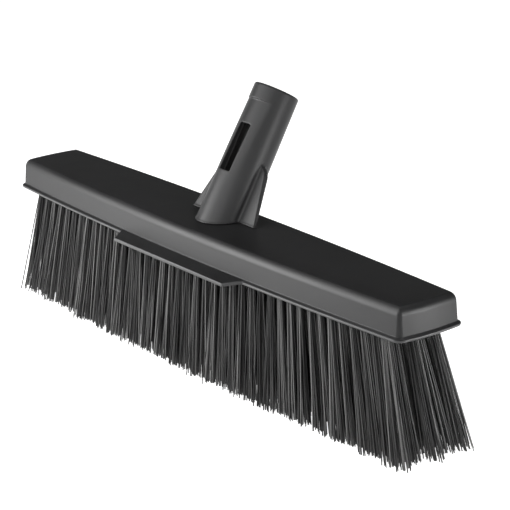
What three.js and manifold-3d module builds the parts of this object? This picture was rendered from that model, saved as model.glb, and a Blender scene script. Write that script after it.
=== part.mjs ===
// Head of a push broom, in millimetres, +Z up. It stands on its bristle tips, and the origin is
// the middle of the plane of the tips. +X runs along the head, -Y is the side with the scraper
// ledge, and the handle socket leans back towards +Y.
import * as THREE from 'three';
import { mergeVertices } from 'three/addons/utils/BufferGeometryUtils.js';
import Module from 'manifold-3d';

const wasm = await Module();
wasm.setup();

// ---------------------------------------------------------------- driving dimensions

const fit = 0.3; // gap between neighbouring pieces
const overcut = 1; // how far a cut runs past the face that it opens
const bury = 1; // how far a shape runs into the one that it is joined to
const weld = 1e-4; // points closer than this are one point

// Cover: a hollow moulding with bowed walls, an outward lip at its foot and a flat top.
const headLength = 400; // over the end walls, at their middle
const headWidth = 58; // over the long walls, at their middle
const frontBow = 7; // how far the front wall falls back at its ends
const backBow = 5.5; // the same for the back wall
const endBow = 1.2; // the same for the end walls
const cornerRadius = 3.5;
const leastCorner = 0.6; // radius that a corner keeps however far it is moved in
const coverHeight = 16.7; // from the root of the lip to the flat top
const topRound = 6; // round between the walls and the top
const coverWall = 2.4;
const wallDraft = 0.8; // how far the walls lean in
const lipReach = 2; // how far the lip stands out of the walls
const lipFall = 1.1; // how far the lip slopes down on its way out
const lipThickness = 2.4;
const lipRound = 0.8;

// Scraper ledge at the middle of the front lip.
const ledgeLength = 115.6; // along its outer edge
const ledgeReach = 9.3; // beyond the lip
const ledgeSplay = 6.6; // how much further each end reaches along the lip
const ledgeFall = 1.1; // how far its outer edge hangs below the lip's top
const ledgeThickness = 2.2;
const ledgeProud = 0.1; // how far its top stands over the lip's

// Bristle block, pushed into the foot of the cover, and the screws that hold it.
const blockThickness = 10;
const blockRecess = 0.5; // from the foot of the lip up to the block
const blockScrewPitch = 58;
const blockScrewCount = 6;
const bossDiameter = 7;
const pilotStop = 0.8; // from the end of a block screw's pilot hole up to the cover's ceiling

// Tufts, in rows that follow the walls.
const bristleLength = 75.5; // from the foot of the lip down to the tips
const rowCount = 5;
const tuftsPerRow = 41; // in the outer and middle rows; the rows between hold one less
const tuftEdge = 6.5; // from the outer face of the long walls to the outer rows
const tuftEndEdge = 19; // from the outer face of the end walls to the last tufts
const tuftDiameter = 3.6; // in the block
const tuftSpread = 0.037; // growth of a tuft's radius for each millimetre below the block
const mingleTop = 32; // from the lip's foot down to where neighbouring tufts start to mingle
const mingleFoot = 3; // from the tips up to where they part again
const mingleThickness = 2.4; // of the filaments that fill a row between its tufts
const rowLean = 5; // outward lean of the outer rows, in degrees
const endLean = 16; // outward lean of the last tufts, in degrees
const endLeanPower = 4; // how sharply that lean grows towards the ends
const tuftSides = 6;

// Stitching wire that lies across the tops of the tufts of each row.
const wireThickness = 0.9;

// Handle socket: a leaning tube with two wings, screwed on from inside the cover.
const socketTilt = 30.7; // lean of the tube towards +Y, in degrees
const socketY = 4.7; // where the tube's axis meets the top of the cover
const socketLength = 86.9; // along the axis, from the top of the cover to the rim
const footDiameter = 31.8; // of the tube where its axis meets the cover
const rimDiameter = 29.8;
const rimRound = 1.2;
const boreDiameter = 23.2;
const boreFloor = 14; // along the axis, from the top of the cover
const gripRibCount = 6;
const gripRibWidth = 1.4;
const gripRibHeight = 0.7;
const gripRibInset = 5; // from the rim down to the ribs
const slotWidth = 10;
const slotLength = 32.3;
const slotFoot = 27.4; // along the axis, from the top of the cover to the slot
const padDepth = 1.8; // how deep the front pad is cut below the collar
const padFoot = 19; // along the axis, where the pad runs out
const collarLength = 10.5; // full round at the rim
const wingSpan = 64; // over both wings where they meet the cover
const wingShoulderSpan = 42.4;
const wingShoulderHeight = 35.5; // along the axis
const wingShoulderRound = 3;
const wingHeight = 38.8; // along the axis, where the wings run into the tube
const wingThickness = 3;
const wingForward = 0.7; // from the axis forward to the wings' front face

// Screws: both kinds have a pan head with a round drive recess.
const blockScrew = { shank: 3, head: 5.2, headHeight: 1.8, grip: 13.5 };
const socketScrew = { shank: 3.5, head: 6.4, headHeight: 2.2, grip: 10 };
const socketScrewSpreadX = 15;
const socketScrewSpreadY = 15;
const headFace = 0.8; // radius of a head's flat face, as a share of the head's radius
const headCrown = 0.4; // height of its rounded edge, as a share of the head's height
const driveMouth = 0.9; // radius of the drive recess, as a share of the shank's radius
const driveFloor = 0.8; // the same at its floor
const driveDepth = 0.55; // as a share of the head's height
const screwSides = 10;

// Smoothness of the curved stretches.
const sideSteps = 12;
const endSteps = 3;
const cornerSteps = 3;
const roundSteps = 3;
const tubeSides = 32;
const wingSteps = 5;
const wireSteps = 16;

// ---------------------------------------------------------------- derived places

const lipFoot = bristleLength;
const lipRoot = lipFoot + lipThickness + lipFall;
const coverTop = lipRoot + coverHeight;
const coverCeiling = coverTop - coverWall;
const blockFoot = lipFoot + blockRecess;
const blockTop = blockFoot + blockThickness;
const socketFoot = coverTop + fit;
const rootDepth = footDiameter; // how far the leaning socket is drawn on before its foot is cut
const blockScrewSeat = blockFoot + fit + blockScrew.headHeight;
const socketScrewSeat = coverCeiling - fit;
const tilt = THREE.MathUtils.degToRad(socketTilt);
const halfLength = headLength / 2;
const halfWidth = headWidth / 2;
const tuftReach = halfLength - tuftEndEdge;
const tuftPitch = (2 * tuftReach) / (tuftsPerRow - 1);

// ---------------------------------------------------------------- solids and meshes

/** A closed geometry as a solid that can be joined and cut. */
function solid(geometry) {
  const bare = geometry.clone();
  bare.deleteAttribute('normal');
  bare.deleteAttribute('uv');
  const welded = mergeVertices(bare, weld);
  const corners = welded.index.array;
  const triVerts = [];
  for (let i = 0; i < corners.length; i += 3) {
    const [a, b, c] = corners.slice(i, i + 3);
    if (a !== b && b !== c && c !== a) {
      triVerts.push(a, b, c);
    }
  }
  return new wasm.Manifold(
    new wasm.Mesh({
      numProp: 3,
      vertProperties: new Float32Array(welded.attributes.position.array),
      triVerts: new Uint32Array(triVerts),
    }),
  );
}

/** The geometry of a solid. */
function geometryOf(body) {
  const mesh = body.getMesh();
  const geometry = new THREE.BufferGeometry();
  geometry.setAttribute('position', new THREE.BufferAttribute(mesh.vertProperties, 3));
  geometry.setIndex(new THREE.BufferAttribute(mesh.triVerts, 1));
  geometry.computeVertexNormals();
  return geometry;
}

/** A closed solid through rings of equally many points, each seen counter-clockwise from the
 *  side that the last ring lies on. */
function loft(rings) {
  const count = rings[0].length;
  const points = rings.flat();
  const triangles = [];
  for (let level = 0; level < rings.length - 1; level += 1) {
    for (let i = 0; i < count; i += 1) {
      const next = (i + 1) % count;
      const low = level * count;
      const high = low + count;
      triangles.push(low + i, low + next, high + next, low + i, high + next, high + i);
    }
  }
  const last = (rings.length - 1) * count;
  for (const [start, ring, turned] of [[0, rings[0], true], [last, rings.at(-1), false]]) {
    const flat = flattened(ring);
    for (const [a, b, c] of THREE.ShapeUtils.triangulateShape(flat, [])) {
      triangles.push(start + a, start + (turned ? c : b), start + (turned ? b : c));
    }
  }
  const geometry = new THREE.BufferGeometry();
  const positions = points.flatMap((point) => [point.x, point.y, point.z]);
  geometry.setAttribute('position', new THREE.Float32BufferAttribute(positions, 3));
  geometry.setIndex(triangles);
  return solid(geometry);
}

/** A flat ring's points in two dimensions of its own plane, counter-clockwise. */
function flattened(ring) {
  const normal = new THREE.Vector3();
  ring.forEach((point, i) => normal.add(point.clone().cross(ring[(i + 1) % ring.length])));
  normal.normalize();
  const side = new THREE.Vector3().subVectors(ring[1], ring[0]).normalize();
  const up = new THREE.Vector3().crossVectors(normal, side);
  return ring.map((point) => new THREE.Vector2(point.dot(side), point.dot(up)));
}

/** An upright prism or cone frustum between two heights. */
function upright(radius, bottom, top, sides, x = 0, y = 0, topRadius = radius) {
  const geometry = new THREE.CylinderGeometry(topRadius, radius, top - bottom, sides);
  geometry.rotateX(Math.PI / 2);
  geometry.translate(x, y, (bottom + top) / 2);
  return solid(geometry);
}

/** A box given by its middle and its size. */
function box(centre, size) {
  const geometry = new THREE.BoxGeometry(size.x, size.y, size.z);
  geometry.translate(centre.x, centre.y, centre.z);
  return solid(geometry);
}

// ---------------------------------------------------------------- plan of the head

/** Where the front wall stands at x, moved in by inset. */
function frontWall(x, inset = 0) {
  return -(halfWidth - inset) + frontBow * (x / halfLength) ** 2;
}

/** Where the back wall stands at x, moved in by inset. */
function backWall(x, inset = 0) {
  return halfWidth - inset - backBow * (x / halfLength) ** 2;
}

/** The head's bowed outline, moved in by inset, at height z, counter-clockwise from above. */
function outline(inset, z) {
  const radius = Math.max(cornerRadius - inset, leastCorner);
  const sideEnd = halfLength - endBow - inset - radius;
  const front = frontWall(sideEnd, inset) + radius;
  const back = backWall(sideEnd, inset) - radius;
  const ring = [];
  const put = (x, y) => ring.push(new THREE.Vector3(x, y, z));
  const corner = (x, y, quarter) => {
    for (let i = 0; i <= cornerSteps; i += 1) {
      const angle = (quarter + i / cornerSteps) * (Math.PI / 2);
      put(x + radius * Math.cos(angle), y + radius * Math.sin(angle));
    }
  };
  const long = (wall, direction) => {
    for (let i = 1; i < sideSteps; i += 1) {
      const x = direction * sideEnd * ((2 * i) / sideSteps - 1);
      put(x, wall(x, inset));
    }
  };
  const end = (direction) => {
    for (let i = 1; i < endSteps; i += 1) {
      const t = (2 * i) / endSteps - 1;
      const y = (front + back) / 2 + (direction * t * (back - front)) / 2;
      put(direction * (sideEnd + radius + endBow * (1 - t * t)), y);
    }
  };
  corner(-sideEnd, front, 2);
  long(frontWall, 1);
  corner(sideEnd, front, 3);
  end(1);
  corner(sideEnd, back, 0);
  long(backWall, -1);
  corner(-sideEnd, back, 1);
  end(-1);
  return ring;
}

/** A solid with the head's plan, through levels of inset and height. */
function bowed(levels) {
  return loft(levels.map(([inset, z]) => outline(inset, z)));
}

/** The levels of a quarter round that ends flat at height top. */
function roundedTop(inset, top, radius) {
  const levels = [];
  for (let i = 0; i <= roundSteps; i += 1) {
    const angle = (i / roundSteps) * (Math.PI / 2);
    levels.push([inset + radius * (1 - Math.cos(angle)), top - radius * (1 - Math.sin(angle))]);
  }
  return levels;
}

// ---------------------------------------------------------------- places that pieces share

/** Block screws: between the middle row and its neighbours, in turn to the front and the back
 *  from the middle of the head outwards. */
function blockScrewPlaces() {
  const places = [];
  const middle = Math.floor((rowCount - 1) / 2);
  for (let i = 0; i < blockScrewCount; i += 1) {
    const steps = i - (blockScrewCount - 1) / 2;
    const x = betweenTufts(steps * blockScrewPitch);
    const beside = middle + (Math.floor(Math.abs(steps)) % 2 ? 1 : -1);
    places.push([x, (rowY(middle, x) + rowY(beside, x)) / 2]);
  }
  return places;
}

/** The place nearest to x that is as far as it can be from the tufts of the two rows beside it. */
function betweenTufts(x) {
  const step = tuftPitch / 2;
  return (Math.round(x / step - 0.5) + 0.5) * step;
}

function socketScrewPlaces() {
  const places = [];
  for (const x of [-socketScrewSpreadX / 2, socketScrewSpreadX / 2]) {
    for (const y of [-socketScrewSpreadY / 2, socketScrewSpreadY / 2]) {
      places.push([x, socketY + y]);
    }
  }
  return places;
}

/** -1 for the front row, 0 for the middle one and 1 for the back one. */
function rowShare(row) {
  return (2 * row) / (rowCount - 1) - 1;
}

/** Where a row stands at x, at the foot of the block. */
function rowY(row, x) {
  const share = rowShare(row);
  const front = frontWall(x, tuftEdge);
  const back = backWall(x, tuftEdge);
  return (front + back) / 2 + (share * (back - front)) / 2;
}

/** A point of a row: where it lies at height z, given where it leaves the block. */
function rowPoint(row, x, z) {
  const drop = blockFoot - z;
  const leanY = Math.tan(THREE.MathUtils.degToRad(rowLean)) * rowShare(row);
  const share = Math.sign(x) * Math.abs(x / tuftReach) ** endLeanPower;
  const leanX = Math.tan(THREE.MathUtils.degToRad(endLean)) * share;
  return new THREE.Vector3(x + leanX * drop, rowY(row, x) + leanY * drop, z);
}

/** Where the tufts of a row leave the block. Every second row is shifted by half a pitch. */
function tuftPlaces(row) {
  const count = row % 2 ? tuftsPerRow - 1 : tuftsPerRow;
  const places = [];
  for (let i = 0; i < count; i += 1) {
    places.push((i - (count - 1) / 2) * tuftPitch);
  }
  return places;
}

/** A tuft, or with a gap around it its hole, with a ring at each of the heights, lowest first. */
function tuft(row, x, heights, gap = 0) {
  const corner = gap / Math.cos(Math.PI / tuftSides);
  const ring = (z) => {
    const centre = rowPoint(row, x, z);
    const radius = tuftDiameter / 2 + corner + tuftSpread * Math.max(0, blockFoot - z);
    const points = [];
    for (let i = 0; i < tuftSides; i += 1) {
      const angle = ((i + 0.5) / tuftSides) * 2 * Math.PI;
      points.push(
        new THREE.Vector3(centre.x + radius * Math.cos(angle), centre.y + radius * Math.sin(angle), z),
      );
    }
    return points;
  };
  return loft(heights.map(ring));
}

// ---------------------------------------------------------------- cover

function ledge() {
  const rimTop = lipFoot + lipThickness;
  const lipEdge = frontWall(0) - lipReach;
  const edgeY = lipEdge - ledgeReach;
  const rootY = frontWall(0) + coverWall / 2;
  const rootShare = (rootY - edgeY) / ledgeReach;
  const section = (y, half, top) => [
    new THREE.Vector3(half, y, top),
    new THREE.Vector3(half, y, top - ledgeThickness),
    new THREE.Vector3(-half, y, top - ledgeThickness),
    new THREE.Vector3(-half, y, top),
  ];
  const half = ledgeLength / 2;
  return loft([
    section(edgeY, half, rimTop - ledgeFall),
    section(rootY, half + ledgeSplay * rootShare, rimTop + ledgeFall * (rootShare - 1) + ledgeProud),
  ]);
}

function coverShell() {
  const outer = bowed([
    [lipRound - lipReach, lipFoot],
    [-lipReach, lipFoot + lipRound],
    [-lipReach, lipFoot + lipThickness - lipRound],
    [lipRound - lipReach, lipFoot + lipThickness],
    [0, lipRoot],
    ...roundedTop(wallDraft, coverTop, topRound),
  ]);
  const cavity = bowed([
    [coverWall, lipFoot - overcut],
    [coverWall, blockTop],
    ...roundedTop(coverWall + wallDraft, coverCeiling, topRound - coverWall),
  ]);
  let shell = outer.add(ledge()).subtract(cavity);
  const bossFoot = blockTop + fit;
  const bossTop = (coverCeiling + coverTop) / 2;
  const pilotTop = coverCeiling - pilotStop;
  const pilotRadius = blockScrew.shank / 2 + fit;
  for (const [x, y] of blockScrewPlaces()) {
    shell = shell.add(upright(bossDiameter / 2, bossFoot, bossTop, screwSides, x, y));
    shell = shell.subtract(upright(pilotRadius, blockTop - overcut, pilotTop, screwSides, x, y));
  }
  const holeRadius = socketScrew.shank / 2 + fit;
  const holeFoot = coverCeiling - overcut;
  for (const [x, y] of socketScrewPlaces()) {
    shell = shell.subtract(upright(holeRadius, holeFoot, coverTop + overcut, screwSides, x, y));
  }
  return shell;
}

// ---------------------------------------------------------------- handle socket

/** Moves a geometry from the tube's own frame into the head's. In that frame X runs along the
 *  head, Y up the tube's axis and Z out of the tube's front. */
function intoSocketFrame(geometry) {
  const along = new THREE.Vector3(1, 0, 0);
  const axis = new THREE.Vector3(0, Math.sin(tilt), Math.cos(tilt));
  const front = new THREE.Vector3().crossVectors(along, axis);
  const frame = new THREE.Matrix4().makeBasis(along, axis, front);
  frame.setPosition(0, socketY, coverTop);
  return geometry.applyMatrix4(frame);
}

/** A round solid about the tube's axis, from points of radius and height. */
function turned(profile, startAngle = 0) {
  const points = profile.map(([radius, height]) => new THREE.Vector2(radius, height));
  return solid(intoSocketFrame(new THREE.LatheGeometry(points, tubeSides, startAngle)));
}

function socketBox(centre, size) {
  const geometry = new THREE.BoxGeometry(size.x, size.y, size.z);
  geometry.translate(centre.x, centre.y, centre.z);
  return solid(intoSocketFrame(geometry));
}

/** The two wings as one flat plate across the tube. */
function wingPlate() {
  const half = wingSpan / 2;
  const shoulder = wingShoulderSpan / 2;
  const slope = (half - shoulder) / wingShoulderHeight;
  const rise = (wingHeight - wingShoulderHeight) / (shoulder - rimDiameter / 2);
  const tube = rimDiameter / 2 - bury;
  const root = half + slope * rootDepth;
  const outerX = shoulder + slope * wingShoulderRound;
  const outerY = wingShoulderHeight - wingShoulderRound;
  const innerX = shoulder - wingShoulderRound;
  const innerY = wingShoulderHeight + rise * wingShoulderRound;
  const shape = new THREE.Shape();
  shape.moveTo(root, -rootDepth);
  shape.lineTo(outerX, outerY);
  shape.quadraticCurveTo(shoulder, wingShoulderHeight, innerX, innerY);
  shape.lineTo(tube, wingHeight + rise * bury);
  shape.lineTo(-tube, wingHeight + rise * bury);
  shape.lineTo(-innerX, innerY);
  shape.quadraticCurveTo(-shoulder, wingShoulderHeight, -outerX, outerY);
  shape.lineTo(-root, -rootDepth);
  const plate = new THREE.ExtrudeGeometry(shape, {
    depth: wingThickness,
    bevelEnabled: false,
    curveSegments: wingSteps,
  });
  plate.translate(0, 0, wingForward - wingThickness);
  return solid(intoSocketFrame(plate));
}

/** The wedge that leaves the flat pad on the front of the tube, below the collar. */
function padCut() {
  const rimRadius = rimDiameter / 2;
  const top = socketLength - collarLength;
  const deep = rimRadius - padDepth;
  const shape = new THREE.Shape();
  shape.moveTo(-(footDiameter / 2), padFoot);
  shape.lineTo(-deep, top);
  shape.lineTo(-footDiameter, top);
  shape.lineTo(-footDiameter, padFoot);
  const cut = new THREE.ExtrudeGeometry(shape, { depth: footDiameter, bevelEnabled: false });
  cut.translate(0, 0, -footDiameter / 2);
  cut.rotateY(Math.PI / 2);
  return solid(intoSocketFrame(cut));
}

function handleSocket() {
  const footRadius = footDiameter / 2;
  const rimRadius = rimDiameter / 2;
  const flare = (footRadius - rimRadius) / socketLength;
  const tube = turned([
    [0, -rootDepth],
    [footRadius + flare * rootDepth, -rootDepth],
    [rimRadius + flare * rimRound, socketLength - rimRound],
    [rimRadius - rimRound, socketLength],
    [0, socketLength],
  ]);
  const boreProfile = [
    [0, boreFloor],
    [boreDiameter / 2, boreFloor],
    [boreDiameter / 2, socketLength + overcut],
    [0, socketLength + overcut],
  ];
  let bore = turned(boreProfile, Math.PI / tubeSides);
  const ribTop = socketLength - gripRibInset;
  const ribFoot = boreFloor - bury;
  const ribInner = boreDiameter / 2 - gripRibHeight;
  const ribOuter = boreDiameter / 2 + bury;
  for (let i = 0; i < gripRibCount; i += 1) {
    const rib = new THREE.BoxGeometry(gripRibWidth, ribTop - ribFoot, ribOuter - ribInner);
    rib.translate(0, (ribTop + ribFoot) / 2, -(ribInner + ribOuter) / 2);
    rib.rotateY((i / gripRibCount) * 2 * Math.PI);
    bore = bore.subtract(solid(intoSocketFrame(rib)));
  }
  const slot = socketBox(
    new THREE.Vector3(0, slotFoot + slotLength / 2, footRadius),
    new THREE.Vector3(slotWidth, slotLength, footDiameter),
  );
  const wide = 3 * wingSpan;
  const underFoot = box(
    new THREE.Vector3(0, socketY, socketFoot - wide / 2),
    new THREE.Vector3(wide, wide, wide),
  );
  let socket = tube.subtract(padCut()).add(wingPlate()).subtract(bore).subtract(slot);
  socket = socket.subtract(underFoot);
  const pilotRadius = socketScrew.shank / 2 + fit;
  const pilotTop = socketScrewSeat + socketScrew.grip + fit;
  for (const [x, y] of socketScrewPlaces()) {
    const pilot = upright(pilotRadius, coverTop - overcut, pilotTop, screwSides, x, y);
    socket = socket.subtract(pilot);
  }
  return socket;
}

// ---------------------------------------------------------------- block, rows and wires

function bristleBlock() {
  const inset = coverWall + fit;
  const block = bowed([[inset, blockFoot], [inset, blockTop]]);
  const holes = [];
  for (let row = 0; row < rowCount; row += 1) {
    for (const x of tuftPlaces(row)) {
      holes.push(tuft(row, x, [blockFoot - overcut, blockTop + overcut], fit));
    }
  }
  const shankRadius = blockScrew.shank / 2 + fit;
  const headRadius = blockScrew.head / 2 + fit;
  const sinkTop = blockScrewSeat + fit;
  for (const [x, y] of blockScrewPlaces()) {
    holes.push(upright(shankRadius, blockFoot, blockTop + overcut, screwSides, x, y));
    holes.push(upright(headRadius, blockFoot - overcut, sinkTop, screwSides, x, y));
  }
  return block.subtract(wasm.Manifold.union(holes));
}

/** The filaments that mingle between a row's tufts: a thin wall from each tuft to the next. */
function mingle(row) {
  const xs = tuftPlaces(row);
  const half = new THREE.Vector3(0, mingleThickness / 2, 0);
  const ring = (z) => {
    const near = xs.map((x) => rowPoint(row, x, z).sub(half));
    const far = xs.map((x) => rowPoint(row, x, z).add(half));
    return [...near, ...far.reverse()];
  };
  return loft([ring(mingleFoot), ring(lipFoot - mingleTop)]);
}

function bristleRow(row) {
  const tufts = tuftPlaces(row).map((x) => tuft(row, x, [0, blockFoot, blockTop]));
  return wasm.Manifold.union([mingle(row), ...tufts]);
}

/** A square wire that lies on the block, over the tufts of a row. */
function stitchWire(row) {
  const half = wireThickness / 2;
  const z = blockTop + fit + half;
  const reach = tuftPlaces(row).at(-1);
  const rings = [];
  for (let i = 0; i <= wireSteps; i += 1) {
    const x = reach * ((2 * i) / wireSteps - 1);
    const { y } = rowPoint(row, x, blockTop);
    rings.push([
      new THREE.Vector3(x, y - half, z - half),
      new THREE.Vector3(x, y + half, z - half),
      new THREE.Vector3(x, y + half, z + half),
      new THREE.Vector3(x, y - half, z + half),
    ]);
  }
  return loft(rings);
}

// ---------------------------------------------------------------- screws

/** An upright screw, with its head below the seat and its tip above. */
function screw(kind, x, y, seat) {
  const shank = kind.shank / 2;
  const head = kind.head / 2;
  const headFoot = seat - kind.headHeight;
  const recessFloor = headFoot + kind.headHeight * driveDepth;
  const tip = seat + kind.grip;
  const profile = [
    [0, recessFloor],
    [shank * driveFloor, recessFloor],
    [shank * driveMouth, headFoot],
    [head * headFace, headFoot],
    [head, headFoot + kind.headHeight * headCrown],
    [head, seat],
    [shank, seat],
    [shank, tip - shank],
    [0, tip],
  ];
  const points = profile.map(([radius, height]) => new THREE.Vector2(radius, height));
  const geometry = new THREE.LatheGeometry(points, screwSides);
  geometry.rotateX(Math.PI / 2);
  geometry.translate(x, y, 0);
  return solid(geometry);
}

// ---------------------------------------------------------------- assembly

const group = new THREE.Group();

function add(name, body, look) {
  const mesh = new THREE.Mesh(geometryOf(body), new THREE.MeshStandardMaterial(look));
  mesh.name = name;
  group.add(mesh);
}

const coverLook = { color: 0x2f3032, roughness: 0.5, metalness: 0 };
const socketLook = { color: 0x36373a, roughness: 0.45, metalness: 0 };
const blockLook = { color: 0x1c1c1e, roughness: 0.6, metalness: 0 };
const bristleLook = { color: 0x1a1a1b, roughness: 0.4, metalness: 0 };
const steelLook = { color: 0xb4b6b8, roughness: 0.35, metalness: 1 };

add('cover_shell', coverShell(), coverLook);
add('handle_socket', handleSocket(), socketLook);
add('bristle_block', bristleBlock(), blockLook);

for (let row = 0; row < rowCount; row += 1) {
  add(`bristle_row_${row + 1}`, bristleRow(row), bristleLook);
  add(`stitch_wire_${row + 1}`, stitchWire(row), steelLook);
}

blockScrewPlaces().forEach(([x, y], i) => {
  add(`block_screw_${i + 1}`, screw(blockScrew, x, y, blockScrewSeat), steelLook);
});

socketScrewPlaces().forEach(([x, y], i) => {
  add(`socket_screw_${i + 1}`, screw(socketScrew, x, y, socketScrewSeat), steelLook);
});

export default group;
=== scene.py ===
import math

import bmesh
import bpy
import numpy as np
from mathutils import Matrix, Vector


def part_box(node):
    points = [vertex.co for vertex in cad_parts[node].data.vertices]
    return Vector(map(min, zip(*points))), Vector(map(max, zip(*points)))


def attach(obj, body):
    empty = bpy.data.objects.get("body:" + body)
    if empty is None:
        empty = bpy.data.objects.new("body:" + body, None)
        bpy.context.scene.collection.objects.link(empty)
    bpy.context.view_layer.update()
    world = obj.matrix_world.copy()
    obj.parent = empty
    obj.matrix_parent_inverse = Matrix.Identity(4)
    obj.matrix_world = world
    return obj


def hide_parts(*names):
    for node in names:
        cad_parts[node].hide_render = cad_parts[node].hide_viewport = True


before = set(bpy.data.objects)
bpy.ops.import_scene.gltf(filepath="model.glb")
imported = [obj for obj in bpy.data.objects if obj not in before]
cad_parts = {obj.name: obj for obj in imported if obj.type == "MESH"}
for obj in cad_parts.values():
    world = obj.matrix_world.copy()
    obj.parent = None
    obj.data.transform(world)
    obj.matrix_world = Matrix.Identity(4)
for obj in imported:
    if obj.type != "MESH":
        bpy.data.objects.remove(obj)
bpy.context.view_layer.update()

import openvdb
from mathutils import Matrix, Vector

# The head of a push broom. Sizes are in millimetres and the meshes in metres, in the frame of the
# CAD model: +X along the head, -Y the side with the scraper ledge, +Z up, tips on Z = 0.
MM = 0.001
BODY = "root"


def node_box(node):
    """Lowest and highest corner of a CAD node, in millimetres."""
    low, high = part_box(node)
    return np.array(low) / MM, np.array(high) / MM


COVER_TOP = node_box("cover_shell")[1][2]
BLOCK_LOW, BLOCK_HIGH = node_box("bristle_block")
SOCKET_LOW, SOCKET_HIGH = node_box("handle_socket")
ROW_COUNT = sum(name.startswith("bristle_row_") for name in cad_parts)
BLOCK_FOOT, BLOCK_TOP = BLOCK_LOW[2], BLOCK_HIGH[2]

# ------------------------------------------------------------------ sizes of the cover

HEAD_LENGTH = 400.0
HEAD_WIDTH = 58.0
FRONT_BOW, BACK_BOW, END_BOW = 7.0, 5.5, 1.2  # how far the sides and ends swell out
CORNER_RADIUS = 3.5  # of the outline at the wall's foot
LEAST_CORNER = 0.6  # where the outline is moved in so far that its corners would vanish
BLOCK_RECESS = 0.5  # of the block's foot, above the lip's
LIP_FOOT = BLOCK_FOOT - BLOCK_RECESS
LIP_THICKNESS, LIP_FALL, LIP_REACH = 2.4, 0.7, 2.0
LIP_ROOT = LIP_FOOT + LIP_THICKNESS + LIP_FALL
COVER_WALL, WALL_DRAFT = 2.4, 0.8
TOP_ROUND, TOP_TURN = 6.9, 60.0  # the round meets the flat top at an edge, after this many degrees
ROOT_FILLET, ROOT_FALL = 0.2, 0.7  # between the lip and the wall, and its share down the lip
FLAT_MARGIN = 0.2  # of the flat top, meshed on its own so that the round's shading ends there
FOOT_CHAMFER = 0.3  # round the mouth of the cover
WALL_CUTS = (0.004, 0.05, 0.35, 0.65, 0.95)  # as shares of its height; the first keeps it crisp
LIP_ROUND_STOP = 110  # degrees, where the lip's rounded edge runs into its falling top
LEDGE_LENGTH, LEDGE_REACH, LEDGE_SPLAY = 115.6, 9.3, 6.6
LEDGE_FALL, LEDGE_THICKNESS, LEDGE_PROUD = 1.1, 2.2, 0.1
LEDGE_ROUND = 0.45
HIGHLIGHT_REACH, HIGHLIGHT_HEIGHT = 0.45, 0.6  # of the lip's painted highlight along its rim, as shares of the lip's own
HIGHLIGHT_ROUND = 0.9  # the ledge's painted highlight along its edge, as a share of its round

SIDE_STEPS, END_STEPS, CORNER_STEPS, ROUND_STEPS = 96, 14, 10, 12
INNER_STEPS, LIP_STEPS, LEDGE_STEPS = 4, 8, 4

# ------------------------------------------------------------------ sizes of the bristles

TUFTS_PER_ROW = 41
TUFT_EDGE, TUFT_END_EDGE = 6.5, 19.0  # from the cover's sides and ends to the outer tufts
TUFT_REACH = HEAD_LENGTH / 2 - TUFT_END_EDGE
ROW_LEAN, END_LEAN_POWER = 4.2, 1.4  # degrees, and how the lean grows towards the ends
LEFT_LEAN, RIGHT_LEAN = 11.4, 17.4  # of the last tufts, in degrees; use has bent them unevenly
FILAMENTS_PER_TUFT = 36
FILAMENT_DIAMETER = 0.74
FILAMENT_SIDES = 5
TONE_POWER = 3.2  # most filaments are dark and a few are pale: a tone of their own, and at the pale end a painted glint of lit filaments
FILAMENT_CUTS = (0.0, 0.1, 0.2, 0.31, 0.43, 0.56, 0.7, 0.85, 1.0)  # shares of the length
ROOT_RADIUS = 1.7  # of a tuft at the foot of the block
TIP_RADIUS = 4.4  # of a tuft at its tips
END_ROOT_SPREAD, END_TIP_SPREAD, END_SPREAD_POWER = 0.5, 0.4, 8  # of the last tufts, as shares
LEAN_CHANCE = 0.012  # how much leans vary, as a slope
BOW_CHANCE = 1.1  # how much tips bow aside
RADIUS_CHANCE = 0.02  # how much filaments differ in thickness
TIP_CHANCE = 1.6  # how much a tuft's tips, and the tips in it, differ in height
SHORT_SHARE, SHORT_LEAST, SHORT_MOST = 0.06, 1, 5  # filaments that are shorter still
SEED = 100
MAP_MARGIN, CAP_MAP = 0.04, 0.02  # of a filament's square in the surface map

# ------------------------------------------------------------------ sizes of the socket

SOCKET_TILT = math.radians(30.7)
SOCKET_Y = 4.7
SOCKET_LENGTH = 86.9
FOOT_RADIUS, RIM_RADIUS, RIM_ROUND = 15.9, 14.9, 1.3
BORE_RADIUS, BORE_FLOOR = 11.6, 14.0
RIB_COUNT, RIB_WIDTH, RIB_HEIGHT, RIB_INSET = 6, 1.4, 0.7, 5.0
SLOT_WIDTH, SLOT_LENGTH, SLOT_FOOT = 10.0, 32.3, 27.4
PAD_DEPTH, PAD_FOOT, PAD_RADIUS = 1.8, 19.0, 20.0
COLLAR_LENGTH = 10.5
WING_SPAN, WING_SHOULDER_SPAN = 64.0, 42.4
WING_SHOULDER_HEIGHT, WING_HEIGHT = 35.5, 38.8
WING_FORWARD = 0.7  # of the wings' front face, from the tube's axis
WING_FOOT_THICKNESS, WING_TOP_THICKNESS = 2.2, 4.0
WING_FILLET, WING_EDGE, WING_SHOULDER_ROUND = 1.2, 0.5, 3.0
FOOT_FILLET = 2.0
SCREW_SPREAD_X, SCREW_SPREAD_Y, SCREW_HOLE = 15.0, 15.0, 2.05
SCREW_DEPTH = 7.3
PAD_EDGE, COLLAR_EDGE = 0.35, 0.5  # rounds on the pad's sides and under the collar
MOUTH_EDGE, SLOT_CORNER, SLOT_JOIN, RIB_EDGE = 0.4, 0.6, 0.2, 0.2
BORE_SKIN = 0.3  # how far from the bore's wall the surface still counts as the bore's and gets its painted light
VOXEL = 0.516  # of the grid that the socket is drawn on
GRID_MARGIN = 4 * VOXEL
FRONT_ROOM = 3.0  # more of the grid in front, where the foot's fillet runs out
SETTLE_ROUNDS, SETTLE_STEP, LEAST_SLOPE = 4, 0.02, 0.25


# ------------------------------------------------------------------ meshes

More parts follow.
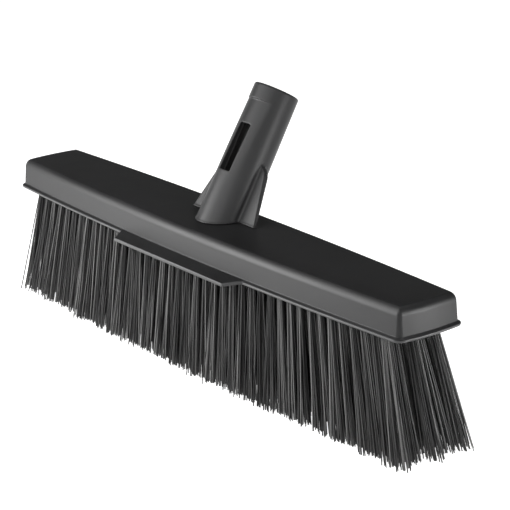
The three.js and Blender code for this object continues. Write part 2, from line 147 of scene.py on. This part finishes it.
def make_piece(name, points, faces, material):
    """A smooth mesh object from points in millimetres, riding on the body."""
    mesh = bpy.data.meshes.new(name)
    mesh.from_pydata((np.asarray(points) * MM).tolist(), [], faces)
    mesh.validate()
    mesh.shade_smooth()
    mesh.materials.append(material)
    piece = bpy.data.objects.new(name, mesh)
    bpy.context.scene.collection.objects.link(piece)
    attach(piece, BODY)
    return piece


def ring_faces(ring_count, size):
    """Quads between rings of equally many points, and a cap at each end. The rings run
    counter-clockwise when seen from the side that the last ring lies on."""
    faces = []
    for level in range(ring_count - 1):
        for i in range(size):
            a, b = level * size + i, level * size + (i + 1) % size
            faces.append((a, b, b + size, a + size))
    faces.append(tuple(reversed(range(size))))
    faces.append(tuple(range((ring_count - 1) * size, ring_count * size)))
    return faces


# ------------------------------------------------------------------ cover

def front_wall(x, inset=0.0):
    """The y of the head's front side at x, moved in by inset."""
    return -(HEAD_WIDTH / 2 - inset) + FRONT_BOW * (2 * x / HEAD_LENGTH) ** 2


def back_wall(x, inset=0.0):
    """The y of the head's back side at x, moved in by inset."""
    return HEAD_WIDTH / 2 - inset - BACK_BOW * (2 * x / HEAD_LENGTH) ** 2


def outline(inset, z):
    """The head's bowed outline, moved in by inset, counter-clockwise from above."""
    radius = max(CORNER_RADIUS - inset, LEAST_CORNER)
    side_end = HEAD_LENGTH / 2 - END_BOW - inset - radius
    front = front_wall(side_end, inset) + radius
    back = back_wall(side_end, inset) - radius
    points = []

    def corner(x, y, quarter):
        for i in range(CORNER_STEPS + 1):
            angle = (quarter + i / CORNER_STEPS) * math.pi / 2
            points.append((x + radius * math.cos(angle), y + radius * math.sin(angle), z))

    def side(wall, direction):
        for i in range(1, SIDE_STEPS):
            x = direction * side_end * (2 * i / SIDE_STEPS - 1)
            points.append((x, wall(x, inset), z))

    def end(direction):
        for i in range(1, END_STEPS):
            t = 2 * i / END_STEPS - 1
            y = (front + back) / 2 + direction * t * (back - front) / 2
            points.append((direction * (side_end + radius + END_BOW * (1 - t * t)), y, z))

    corner(-side_end, front, 2)
    side(front_wall, 1)
    corner(side_end, front, 3)
    end(1)
    corner(side_end, back, 0)
    side(back_wall, -1)
    corner(-side_end, back, 1)
    end(-1)
    return points


def arc(inset, z, radius, start, stop, steps):
    """Levels round a centre at (inset, z), with angles in degrees: 0 points into the head and
    90 up."""
    angles = [math.radians(start + (stop - start) * i / steps) for i in range(steps + 1)]
    return [(inset + radius * math.cos(a), z + radius * math.sin(a)) for a in angles]


def cover_levels():
    """The section of the cover's wall as levels of inset and height, from the ceiling down the
    inside, round the lip and up to the flat top."""
    inner_round = TOP_ROUND - COVER_WALL
    ceiling = COVER_TOP - COVER_WALL
    wall_in = COVER_WALL + WALL_DRAFT
    rim = LIP_THICKNESS / 2
    levels = arc(wall_in + inner_round, ceiling - inner_round, inner_round, 90, 180, INNER_STEPS)
    levels += [(COVER_WALL, BLOCK_TOP), (COVER_WALL, LIP_FOOT + FOOT_CHAMFER)]
    levels += [(COVER_WALL - FOOT_CHAMFER, LIP_FOOT)]
    levels += arc(rim - LIP_REACH, LIP_FOOT + rim, rim, 270, LIP_ROUND_STOP, LIP_STEPS)
    levels += [(-ROOT_FILLET, LIP_ROOT - ROOT_FILLET * ROOT_FALL), (0.0, LIP_ROOT + ROOT_FILLET)]
    wall_top = COVER_TOP - TOP_ROUND * math.sin(math.radians(TOP_TURN))
    wall_height = wall_top - LIP_ROOT - ROOT_FILLET
    for share in WALL_CUTS:
        levels.append((WALL_DRAFT * share, LIP_ROOT + ROOT_FILLET + wall_height * share))
    levels += arc(WALL_DRAFT + TOP_ROUND, wall_top, TOP_ROUND, 180, 180 - TOP_TURN, ROUND_STEPS)
    levels.append((levels[-1][0] + FLAT_MARGIN, COVER_TOP))
    return levels


def ledge_mesh():
    """The scraper ledge: a splayed plate with rounded edges that runs into the wall."""
    rim_top = LIP_FOOT + LIP_THICKNESS
    edge_y = front_wall(0) - LIP_REACH - LEDGE_REACH
    root_y = front_wall(0) + COVER_WALL / 2
    root_share = (root_y - edge_y) / LEDGE_REACH
    half = LEDGE_LENGTH / 2
    sections = [
        (edge_y, half, rim_top - LEDGE_FALL),
        (root_y, half + LEDGE_SPLAY * root_share,
         rim_top + LEDGE_FALL * (root_share - 1) + LEDGE_PROUD),
    ]
    mesh = bmesh.new()
    corners = []
    for y, reach, top in sections:
        for x, z in ((reach, top), (reach, top - LEDGE_THICKNESS),
                     (-reach, top - LEDGE_THICKNESS), (-reach, top)):
            corners.append(mesh.verts.new((x, y, z)))
    for face in ring_faces(2, 4):
        mesh.faces.new([corners[i] for i in face])
    bmesh.ops.bevel(mesh, geom=mesh.edges[:], offset=LEDGE_ROUND, segments=LEDGE_STEPS,
                    profile=0.5, affect="EDGES")
    mesh.verts.index_update()
    points = [tuple(vert.co) for vert in mesh.verts]
    faces = [tuple(vert.index for vert in face.verts) for face in mesh.faces]
    mesh.free()
    return points, faces


def cover(material):
    """The cover's shell and its ledge, with the edges that get a painted highlight marked."""
    levels = cover_levels()
    rings = [outline(inset, z) for inset, z in levels]
    points = [point for ring in rings for point in ring]
    faces = ring_faces(len(rings), len(rings[0]))
    ledge_points, ledge_faces = ledge_mesh()
    start = len(points)
    points += ledge_points
    faces += [tuple(start + i for i in face) for face in ledge_faces]
    piece = make_piece("cover", points, faces, material)
    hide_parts("cover_shell")

    # A painted highlight: the lip's rim and the ledge's outer edge are marked to be paler,
    # standing in for the light they catch.
    lip = [inset < -HIGHLIGHT_REACH * LIP_REACH and z < LIP_FOOT + HIGHLIGHT_HEIGHT * LIP_THICKNESS
           for inset, z in levels]
    lip = np.repeat(lip, len(rings[0]))
    x, y, _ = np.array(ledge_points).T
    forward = y - (front_wall(0) - LIP_REACH - LEDGE_REACH)
    sideways = LEDGE_LENGTH / 2 + LEDGE_SPLAY * forward / LEDGE_REACH - np.abs(x)
    rim = np.minimum(forward, sideways) < HIGHLIGHT_ROUND * LEDGE_ROUND
    edge = piece.data.attributes.new("edge", "FLOAT", "POINT")
    edge.data.foreach_set("value", np.concatenate([lip, rim]).astype(np.float32))


# ------------------------------------------------------------------ socket

def rounded_max(a, b, radius):
    """The distance to where two solids overlap, with an outer round on their common edge."""
    a, b = a + radius, b + radius
    outside = np.hypot(np.maximum(a, 0), np.maximum(b, 0))
    return np.minimum(np.maximum(a, b), 0) + outside - radius


def rounded_min(a, b, radius):
    """The distance to two solids together, with a fillet in the corner between them."""
    return -rounded_max(-a, -b, radius)


def tube_place(points):
    """How far points are out of the tube's front, up its axis and away from its axis."""
    y, z = points[..., 1] - SOCKET_Y, points[..., 2] - COVER_TOP
    sine, cosine = math.sin(SOCKET_TILT), math.cos(SOCKET_TILT)
    n = z * sine - y * cosine
    return n, y * sine + z * cosine, np.hypot(points[..., 0], n)


def socket_distance(points):
    """The signed distance to the socket's surface, in millimetres, negative inside. x runs along
    the head, n out of the tube's front, h up its axis and rho away from its axis."""
    x = np.abs(points[..., 0])
    y, z = points[..., 1] - SOCKET_Y, points[..., 2] - COVER_TOP
    n, h, rho = tube_place(points)

    radius = FOOT_RADIUS + (RIM_RADIUS - FOOT_RADIUS) * h / SOCKET_LENGTH
    tube = rounded_max(rho - radius, h - SOCKET_LENGTH, RIM_ROUND)

    collar_foot = SOCKET_LENGTH - COLLAR_LENGTH
    depth = PAD_DEPTH * np.clip((h - PAD_FOOT) / (collar_foot - PAD_FOOT), 0, 1)
    pad = np.hypot(x, n - (radius - depth - PAD_RADIUS)) - PAD_RADIUS
    pad_cut = rounded_max(-pad, h - collar_foot, COLLAR_EDGE)
    body = rounded_max(tube, -pad_cut, PAD_EDGE)

    slope = (WING_SPAN - WING_SHOULDER_SPAN) / 2 / WING_SHOULDER_HEIGHT
    edge = (x - WING_SPAN / 2 + slope * h) / math.hypot(1, slope)
    fall = (WING_SHOULDER_SPAN / 2 - RIM_RADIUS) / (WING_HEIGHT - WING_SHOULDER_HEIGHT)
    shoulder = x - WING_SHOULDER_SPAN / 2 + fall * (h - WING_SHOULDER_HEIGHT)
    shoulder = shoulder / math.hypot(1, fall)
    thickness = WING_FOOT_THICKNESS + (WING_TOP_THICKNESS - WING_FOOT_THICKNESS) * h / WING_HEIGHT
    across = np.abs(n - WING_FORWARD + thickness / 2) - thickness / 2
    plan = rounded_max(edge, shoulder, WING_SHOULDER_ROUND)
    wing = rounded_max(plan, across, WING_EDGE)
    body = rounded_min(body, wing, WING_FILLET)

    body = rounded_min(body, z, FOOT_FILLET)

    bore = np.maximum(rho - BORE_RADIUS, BORE_FLOOR - h)
    for i in range(RIB_COUNT // 2):
        angle = (i + 0.5) * 2 * math.pi / RIB_COUNT
        off = np.abs(x * math.cos(angle) - n * math.sin(angle)) - RIB_WIDTH / 2
        rib = np.maximum(np.maximum(off, BORE_RADIUS - RIB_HEIGHT - rho),
                         h - SOCKET_LENGTH + RIB_INSET)
        bore = rounded_max(bore, -rib, RIB_EDGE)
    along = np.abs(h - SLOT_FOOT - SLOT_LENGTH / 2) - SLOT_LENGTH / 2
    slot = np.maximum(rounded_max(x - SLOT_WIDTH / 2, along, SLOT_CORNER), -n)
    hollow = rounded_min(bore, slot, SLOT_JOIN)
    body = rounded_max(body, -hollow, MOUTH_EDGE)

    screw = np.hypot(x - SCREW_SPREAD_X / 2, np.abs(y) - SCREW_SPREAD_Y / 2) - SCREW_HOLE
    body = np.maximum(body, -np.maximum(screw, z - SCREW_DEPTH))
    return np.maximum(body, SOCKET_LOW[2] - COVER_TOP - z)


def settle(points):
    """Moves points onto the socket's surface, along the slope of its distance."""
    for _ in range(SETTLE_ROUNDS):
        value = socket_distance(points)
        slope = np.stack([
            socket_distance(points + way) - socket_distance(points - way)
            for way in SETTLE_STEP * np.eye(3)
        ], axis=-1) / (2 * SETTLE_STEP)
        steepness = np.maximum(np.sum(slope * slope, axis=-1), LEAST_SLOPE)
        move = np.clip(value / steepness, -VOXEL / 2, VOXEL / 2)
        points = points - slope * move[:, None]
    return points


def socket(material):
    """The socket, drawn from its distance on a fine grid and then settled onto it."""
    low = SOCKET_LOW - GRID_MARGIN
    low[0] = -SOCKET_HIGH[0] - GRID_MARGIN
    low[1] -= FRONT_ROOM
    count = np.ceil((SOCKET_HIGH + GRID_MARGIN - low) / VOXEL).astype(int) + 1
    axes = [low[i] + VOXEL * np.arange(count[i]) for i in range(3)]
    grid = np.stack(np.meshgrid(*axes, indexing="ij"), axis=-1)
    field = socket_distance(grid).astype(np.float32)
    volume = openvdb.FloatGrid(3 * VOXEL)
    volume.copyFromArray(field, tolerance=0.0)
    points, quads = volume.convertToQuads(0.0)
    points = settle(points.astype(float) * VOXEL + low)
    faces = [tuple(int(i) for i in quad) for quad in quads]
    piece = make_piece("socket", points, faces, material)
    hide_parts("handle_socket")
    # The bore's inside is marked for painted light: it is made paler where the lamps hardly reach
    # in.
    _, h, rho = tube_place(points)
    inside = (rho < BORE_RADIUS + BORE_SKIN) & (h > BORE_FLOOR - BORE_SKIN)
    bore = piece.data.attributes.new("bore", "FLOAT", "POINT")
    bore.data.foreach_set("value", inside.astype(np.float32))


# ------------------------------------------------------------------ bristles

def row_share(row):
    """-1 for the front row, 0 for the middle one and 1 for the back one."""
    return 2 * row / (ROW_COUNT - 1) - 1


def row_y(row, x):
    """The y of a row at x: the rows share out the width between the bowed sides."""
    front, back = front_wall(x, TUFT_EDGE), back_wall(x, TUFT_EDGE)
    return (front + back) / 2 + row_share(row) * (back - front) / 2


def tuft_places(row):
    """The x of each tuft. Every second row holds one less and is shifted by half a pitch."""
    pitch = 2 * TUFT_REACH / (TUFTS_PER_ROW - 1)
    count = TUFTS_PER_ROW - row % 2
    return (np.arange(count) - (count - 1) / 2) * pitch


def filament_lines(row, rng):
    """The middle lines of a row's filaments: an array of filaments by points by coordinates."""
    x = np.repeat(tuft_places(row), FILAMENTS_PER_TUFT)
    tufts = len(x) // FILAMENTS_PER_TUFT
    count = len(x)
    order = np.tile(np.arange(FILAMENTS_PER_TUFT), tufts)
    twist = np.repeat(rng.uniform(0, 2 * math.pi, tufts), FILAMENTS_PER_TUFT)
    angle = order * math.pi * (3 - math.sqrt(5)) + twist
    share = np.sqrt((order + 0.5) / FILAMENTS_PER_TUFT)

    end = np.sign(x) * np.abs(x / TUFT_REACH) ** END_LEAN_POWER
    outer = np.abs(x / TUFT_REACH) ** END_SPREAD_POWER
    root_radius = ROOT_RADIUS * (1 + END_ROOT_SPREAD * outer)
    tip_radius = TIP_RADIUS * (1 + END_TIP_SPREAD * outer)
    tuft_x = np.repeat(rng.normal(0, LEAN_CHANCE, tufts), FILAMENTS_PER_TUFT)
    tuft_y = np.repeat(rng.normal(0, LEAN_CHANCE, tufts), FILAMENTS_PER_TUFT)
    end_lean = np.tan(np.radians(np.where(x < 0, LEFT_LEAN, RIGHT_LEAN)))
    lean_x = end_lean * end + tuft_x + rng.normal(0, LEAN_CHANCE, count)
    row_lean = math.tan(math.radians(ROW_LEAN)) * row_share(row)
    lean_y = row_lean + tuft_y + rng.normal(0, LEAN_CHANCE, count)
    growth = (tip_radius - root_radius) / BLOCK_TOP
    bow_x, bow_y = rng.normal(0, BOW_CHANCE, count), rng.normal(0, BOW_CHANCE, count)
    tip = np.repeat(rng.uniform(0, TIP_CHANCE, tufts), FILAMENTS_PER_TUFT)
    tip = tip + rng.uniform(0, TIP_CHANCE, count)
    tip += (rng.uniform(0, 1, count) < SHORT_SHARE) * rng.uniform(SHORT_LEAST, SHORT_MOST, count)

    lines = np.zeros((count, len(FILAMENT_CUTS), 3))
    for i, cut in enumerate(FILAMENT_CUTS):
        z = BLOCK_TOP + (tip - BLOCK_TOP) * cut
        drop = BLOCK_FOOT - z
        free = np.maximum(drop, 0)
        radius = (root_radius + growth * free) * share
        bend = (free / BLOCK_TOP) ** 2
        lines[:, i, 0] = x + lean_x * drop + radius * np.cos(angle) + bow_x * bend
        lines[:, i, 1] = row_y(row, x) + lean_y * drop + radius * np.sin(angle) + bow_y * bend
        lines[:, i, 2] = z
    return lines


def filament_map(count, cuts, faces):
    """A place in the surface map for every corner of the filaments' faces: a small square for
    each filament, with its sides unrolled and its caps at the middle of the foot and the top."""
    maps = []
    for face in faces:
        if len(face) == 4:
            level, side = divmod(face[0], FILAMENT_SIDES)
            u, v = side / FILAMENT_SIDES, level / (cuts - 1)
            du, dv = 1 / FILAMENT_SIDES, 1 / (cuts - 1)
            maps += [(u, v), (u + du, v), (u + du, v + dv), (u, v + dv)]
        else:
            v = 0.0 if face[0] < FILAMENT_SIDES else 1.0
            maps += [(0.5 + CAP_MAP * math.cos(k), abs(v - CAP_MAP - CAP_MAP * math.sin(k)))
                     for k in range(FILAMENT_SIDES)]
    one_map = MAP_MARGIN + (1 - 2 * MAP_MARGIN) * np.array(maps)
    cells = math.ceil(math.sqrt(count))
    cell = np.stack(np.divmod(np.arange(count), cells), axis=-1)
    return (cell[:, None, :] + one_map[None, :, :]) / cells


def bristles(row, material):
    """A row's filaments as thin rods, each with a tone of its own; the palest tones are painted
    glints.
    """
    rng = np.random.default_rng(SEED + row)
    lines = filament_lines(row, rng)
    count, cuts, _ = lines.shape
    turn = rng.uniform(0, 2 * math.pi, count)[:, None] + \
        np.arange(FILAMENT_SIDES) * 2 * math.pi / FILAMENT_SIDES
    radius = rng.normal(FILAMENT_DIAMETER / 2, RADIUS_CHANCE, count)[:, None]
    section = np.stack([radius * np.cos(turn), radius * np.sin(turn), 0 * turn], axis=-1)
    points = (lines[:, ::-1, None, :] + section[:, None, :, :]).reshape(-1, 3)

    one = ring_faces(cuts, FILAMENT_SIDES)
    size = cuts * FILAMENT_SIDES
    faces = [tuple(i * size + j for j in face) for i in range(count) for face in one]
    piece = make_piece(f"bristles_{row + 1}", points, faces, material)
    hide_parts(f"bristle_row_{row + 1}")

    layer = piece.data.uv_layers.new(name="OFBake")
    placed = filament_map(count, cuts, one)
    layer.data.foreach_set("uv", placed.reshape(-1).astype(np.float32))
    tone = piece.data.attributes.new("tone", "FLOAT", "POINT")
    # The few pale filaments are painted glints among the dark ones.
    tones = rng.uniform(0, 1, count) ** TONE_POWER
    tone.data.foreach_set("value", np.repeat(tones, size).astype(np.float32))


# ------------------------------------------------------------------ materials

PLASTIC_GLOSS, FILAMENT_GLOSS = 0.27, 0.33
CLOUD_SCALE, GRAIN_SCALE, STREAK_SCALE = 28.0, 2600.0, 900.0
GRAIN_DEPTH = 0.00003
GRAIN_STRENGTH, GRAIN_DETAIL = 0.35, 2.0
TONE_SPAN, ROUGH_SPAN = (0.35, 0.65), (0.3, 0.7)  # of the cloud, stretched to the full change
PLASTIC_ROUGH_CHANGE, STEEL_ROUGH_CHANGE = 0.03, 0.08
# The pale end is far paler than black filament: a painted glint that stands in for lit filaments.
FILAMENT_DARK, FILAMENT_GLINT = (0.004, 0.004, 0.0042), (0.2, 0.199, 0.197)
STEEL_DARK, STEEL_LIGHT = (0.5, 0.5, 0.51), (0.66, 0.66, 0.67)


class Nodes:
    """A material's node tree, with short ways to add and join nodes."""

    def __init__(self, name):
        self.material = bpy.data.materials.new(name)
        self.material.use_nodes = True
        self.tree = self.material.node_tree
        self.shader = self.tree.nodes["Principled BSDF"]
        self.output = self.tree.nodes["Material Output"]

    def add(self, kind, **values):
        """A new node. Each value sets the node's property of that name, or else its input."""
        node = self.tree.nodes.new(kind)
        for key, value in values.items():
            if hasattr(node, key):
                setattr(node, key, value)
            else:
                node.inputs[key.replace("_", " ")].default_value = value
        return node

    def join(self, out, into):
        self.tree.links.new(out, into)

    def noise(self, scale, detail=3.0):
        """A cloudy value from 0 to 1, fixed to the object."""
        place = self.add("ShaderNodeTexCoord")
        noise = self.add("ShaderNodeTexNoise", Scale=scale, Detail=detail)
        self.join(place.outputs["Object"], noise.inputs["Vector"])
        return noise.outputs["Fac"]

    def spread(self, value, low, high, start=0.0, stop=1.0):
        """Maps a value from start..stop to low..high."""
        node = self.add("ShaderNodeMapRange", From_Min=start, From_Max=stop,
                        To_Min=low, To_Max=high)
        self.join(value, node.inputs["Value"])
        return node.outputs["Result"]

    def blend(self, share, first, second):
        """A colour between two, by share."""
        node = self.add("ShaderNodeMix", data_type="RGBA")
        colours = [plug for plug in node.inputs if plug.type == "RGBA"]
        colours[0].default_value = (*first, 1)
        colours[1].default_value = (*second, 1)
        self.join(share, node.inputs["Factor"])
        return next(plug for plug in node.outputs if plug.type == "RGBA")


def moulded_plastic(name, dark, light, rough):
    """Satin moulded plastic: a fine spark-eroded grain, with slow changes of tone and gloss."""
    nodes = Nodes(name)
    nodes.shader.inputs["Specular IOR Level"].default_value = PLASTIC_GLOSS
    cloud = nodes.noise(CLOUD_SCALE)
    grain = nodes.noise(GRAIN_SCALE, GRAIN_DETAIL)
    nodes.join(nodes.blend(nodes.spread(cloud, 0, 1, *TONE_SPAN), dark, light),
               nodes.shader.inputs["Base Color"])
    least, most = rough - PLASTIC_ROUGH_CHANGE, rough + PLASTIC_ROUGH_CHANGE
    nodes.join(nodes.spread(cloud, least, most, *ROUGH_SPAN), nodes.shader.inputs["Roughness"])
    bump = nodes.add("ShaderNodeBump", Strength=GRAIN_STRENGTH, Distance=GRAIN_DEPTH)
    nodes.join(grain, bump.inputs["Height"])
    nodes.join(bump.outputs["Normal"], nodes.shader.inputs["Normal"])
    return nodes.material


def vary(material, attribute, colour, roughness):
    """Gives the part of a surface that an attribute marks its own colour and roughness."""
    tree = material.node_tree
    shader = tree.nodes["Principled BSDF"]
    share = tree.nodes.new("ShaderNodeAttribute")
    share.attribute_name = attribute
    for name, value in (("Base Color", (*colour, 1)), ("Roughness", roughness)):
        mix = tree.nodes.new("ShaderNodeMix")
        mix.data_type = "RGBA" if name == "Base Color" else "FLOAT"
        kind = "RGBA" if name == "Base Color" else "VALUE"
        ends = [plug for plug in mix.inputs if plug.type == kind and plug.enabled][-2:]
        outside = shader.inputs[name].links[0].from_socket
        tree.links.new(share.outputs["Fac"], mix.inputs["Factor"])
        tree.links.new(outside, ends[0])
        ends[1].default_value = value
        result = next(plug for plug in mix.outputs if plug.type == kind and plug.enabled)
        tree.links.new(result, shader.inputs[name])


def filament_plastic():
    """Drawn filament: every one has its own tone and gloss; the pale end of the tones is a painted
    glint of lit filaments.
    """
    nodes = Nodes("filament")
    tone = nodes.add("ShaderNodeAttribute", attribute_name="tone").outputs["Fac"]
    nodes.join(nodes.blend(tone, FILAMENT_DARK, FILAMENT_GLINT),
               nodes.shader.inputs["Base Color"])
    nodes.join(nodes.spread(tone, 0.42, 0.32), nodes.shader.inputs["Roughness"])
    nodes.shader.inputs["Specular IOR Level"].default_value = FILAMENT_GLOSS
    return nodes.material


def steel(name, rough):
    """Bright drawn steel with faint streaks."""
    nodes = Nodes(name)
    nodes.shader.inputs["Metallic"].default_value = 1.0
    streak = nodes.noise(STREAK_SCALE)
    nodes.join(nodes.blend(streak, STEEL_DARK, STEEL_LIGHT),
               nodes.shader.inputs["Base Color"])
    least, most = rough - STEEL_ROUGH_CHANGE, rough + STEEL_ROUGH_CHANGE
    nodes.join(nodes.spread(streak, least, most), nodes.shader.inputs["Roughness"])
    return nodes.material


def dress(node, material):
    """Gives a CAD node another material."""
    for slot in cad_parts[node].material_slots:
        slot.material = material


# ------------------------------------------------------------------ stage

HORIZON_TOP, SKY_FOOT = 4.0, 8.0  # elevations between which the white surround turns dark
SKY = 0.05
FLOOR_REACH, FLOOR_DROP = 9.0, 0.0003  # in metres
FLOOR_GLOW = 0.97  # how white the floor looks, by itself and in mirrors
VIEW_AZIMUTH, VIEW_ELEVATION, VIEW_ROLL = 52.79, 18.67, -0.97  # in degrees
VIEW_AIM, VIEW_DISTANCE = (0.0161, 0.0171, 0.0717), 1.29876  # in metres
VIEW_LENS = 144.68


def lay_floor():
    """A pale floor that keeps the object's shadow and doesn't show from below."""
    mesh = bpy.data.meshes.new("floor")
    signs = ((-1, -1), (1, -1), (1, 1), (-1, 1))
    corners = [(x * FLOOR_REACH, y * FLOOR_REACH, 0) for x, y in signs]
    mesh.from_pydata(corners, [], [(0, 1, 2, 3)])
    floor = bpy.data.objects.new("floor", mesh)
    floor.location.z = -FLOOR_DROP
    bpy.context.scene.collection.objects.link(floor)

    nodes = Nodes("floor")
    nodes.shader.inputs["Base Color"].default_value = (0.6, 0.6, 0.6, 1)
    nodes.shader.inputs["Roughness"].default_value = 0.9
    nodes.shader.inputs["Specular IOR Level"].default_value = 0.0
    path = nodes.add("ShaderNodeLightPath")
    seen = path.outputs["Is Camera Ray"]
    for name in ("Is Glossy Ray", "Is Transmission Ray"):
        either = nodes.add("ShaderNodeMath", operation="MAXIMUM")
        nodes.join(seen, either.inputs[0])
        nodes.join(path.outputs[name], either.inputs[1])
        seen = either.outputs[0]
    glow = nodes.add("ShaderNodeEmission")
    nodes.join(nodes.spread(seen, 0.0, FLOOR_GLOW), glow.inputs["Strength"])
    both = nodes.add("ShaderNodeAddShader")
    nodes.join(nodes.shader.outputs[0], both.inputs[0])
    nodes.join(glow.outputs[0], both.inputs[1])
    clear = nodes.add("ShaderNodeBsdfTransparent")
    side = nodes.add("ShaderNodeNewGeometry")
    mix = nodes.add("ShaderNodeMixShader")
    nodes.join(side.outputs["Backfacing"], mix.inputs[0])
    nodes.join(both.outputs[0], mix.inputs[1])
    nodes.join(clear.outputs[0], mix.inputs[2])
    nodes.join(mix.outputs[0], nodes.output.inputs["Surface"])
    mesh.materials.append(nodes.material)


def surround():
    """A world that is white at the horizon and dark above it."""
    world = bpy.data.worlds.new("world")
    bpy.context.scene.world = world
    world.use_nodes = True
    tree = world.node_tree
    back = tree.nodes["Background"]
    place = tree.nodes.new("ShaderNodeTexCoord")
    split = tree.nodes.new("ShaderNodeSeparateXYZ")
    level = tree.nodes.new("ShaderNodeMapRange")
    level.interpolation_type = "SMOOTHSTEP"
    for name, number in (("From Min", math.sin(math.radians(HORIZON_TOP))),
                         ("From Max", math.sin(math.radians(SKY_FOOT))),
                         ("To Min", 1.0), ("To Max", SKY)):
        level.inputs[name].default_value = number
    tree.links.new(place.outputs["Generated"], split.inputs[0])
    tree.links.new(split.outputs["Z"], level.inputs["Value"])
    tree.links.new(level.outputs["Result"], back.inputs["Strength"])
    back.inputs["Color"].default_value = (1, 1, 1, 1)


def lamp(name, azimuth, elevation, distance, width, height, radiance, aim=(0, 0, 0.08)):
    """A soft box, in metres and degrees, seen from the point that it aims at. Azimuth 0 is in
    front of the head, at -Y, and 90 on its right, at +X."""
    a, e = math.radians(azimuth), math.radians(elevation)
    way = Vector((math.sin(a) * math.cos(e), -math.cos(a) * math.cos(e), math.sin(e)))
    data = bpy.data.lights.new(name, "AREA")
    data.shape = "RECTANGLE"
    data.size, data.size_y = width, height
    data.energy = radiance * math.pi * width * height
    box = bpy.data.objects.new(name, data)
    box.location = Vector(aim) + way * distance
    box.rotation_mode = "QUATERNION"
    box.rotation_quaternion = (-way).to_track_quat("-Z", "Y")
    box.visible_camera = False
    bpy.context.scene.collection.objects.link(box)


def camera():
    """A view of the head from its front right and a little above."""
    azimuth, elevation = math.radians(VIEW_AZIMUTH), math.radians(VIEW_ELEVATION)
    roll = math.radians(VIEW_ROLL)
    back = Vector((math.sin(azimuth) * math.cos(elevation),
                   -math.cos(azimuth) * math.cos(elevation), math.sin(elevation)))
    right = Vector((math.cos(azimuth), math.sin(azimuth), 0))
    up = back.cross(right)
    across = math.cos(roll) * right + math.sin(roll) * up
    upward = math.cos(roll) * up - math.sin(roll) * right
    data = bpy.data.cameras.new("camera")
    data.sensor_width = 36.0
    data.lens = VIEW_LENS
    data.clip_end = 50.0
    view = bpy.data.objects.new("camera", data)
    turn = Matrix((across, upward, back)).transposed()
    place = Vector(VIEW_AIM) + VIEW_DISTANCE * back
    view.matrix_world = Matrix.Translation(place) @ turn.to_4x4()
    bpy.context.scene.collection.objects.link(view)
    bpy.context.scene.camera = view


# ------------------------------------------------------------------ the scene

camera()

cover_plastic = moulded_plastic(
    "cover_plastic", (0.0085, 0.0085, 0.0088), (0.012, 0.012, 0.0124), 0.42)
socket_plastic = moulded_plastic(
    "socket_plastic", (0.017, 0.017, 0.0175), (0.022, 0.022, 0.0225), 0.4)
block_plastic = moulded_plastic(
    "block_plastic", (0.012, 0.012, 0.012), (0.016, 0.016, 0.016), 0.55)
vary(socket_plastic, "bore", (0.07, 0.07, 0.07), 0.22)  # smooth from the mould; paler as painted light inside the bore, where the lamps hardly reach
vary(cover_plastic, "edge", (0.055, 0.055, 0.056), 0.3)  # painted highlight: paler and glossier along the lip's rim and the ledge's edge
filament = filament_plastic()

cover(cover_plastic)
socket(socket_plastic)
for row in range(ROW_COUNT):
    bristles(row, filament)

dress("bristle_block", block_plastic)
wire_steel = steel("wire_steel", 0.35)
screw_steel = steel("screw_steel", 0.3)
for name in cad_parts:
    if name.startswith("stitch_wire"):
        dress(name, wire_steel)
    elif "_screw_" in name:
        dress(name, screw_steel)

lay_floor()
surround()
lamp("wall", -49, 6, 0.7, 0.45, 0.3, 10.0, (0.17, -0.03, 0.085))
lamp("left", -44, 20, 0.8, 0.42, 0.32, 4.0)
lamp("overhead_left", -50, 72, 0.9, 0.5, 0.4, 1.3)
lamp("overhead_right", 118, 62, 0.9, 0.4, 0.4, 3.0)
lamp("left_high", -35, 37, 0.8, 0.42, 0.32, 3.5)
lamp("middle_high", -5, 37, 0.8, 0.42, 0.32, 3.6)
lamp("right_high", 25, 37, 0.8, 0.42, 0.32, 3.5)
lamp("right", 40, 20, 0.8, 0.42, 0.32, 1.9)
lamp("side", 72, 20, 0.8, 0.42, 0.32, 1.5)
lamp("end", 128, -5, 0.34, 0.14, 0.09, 7.7, (0.2, 0.0, 0.085))
lamp("end_bristles", 120, 16, 0.26, 0.12, 0.12, 11.0, (0.2, 0.0, 0.03))

bpy.context.scene.view_settings.view_transform = "Standard"
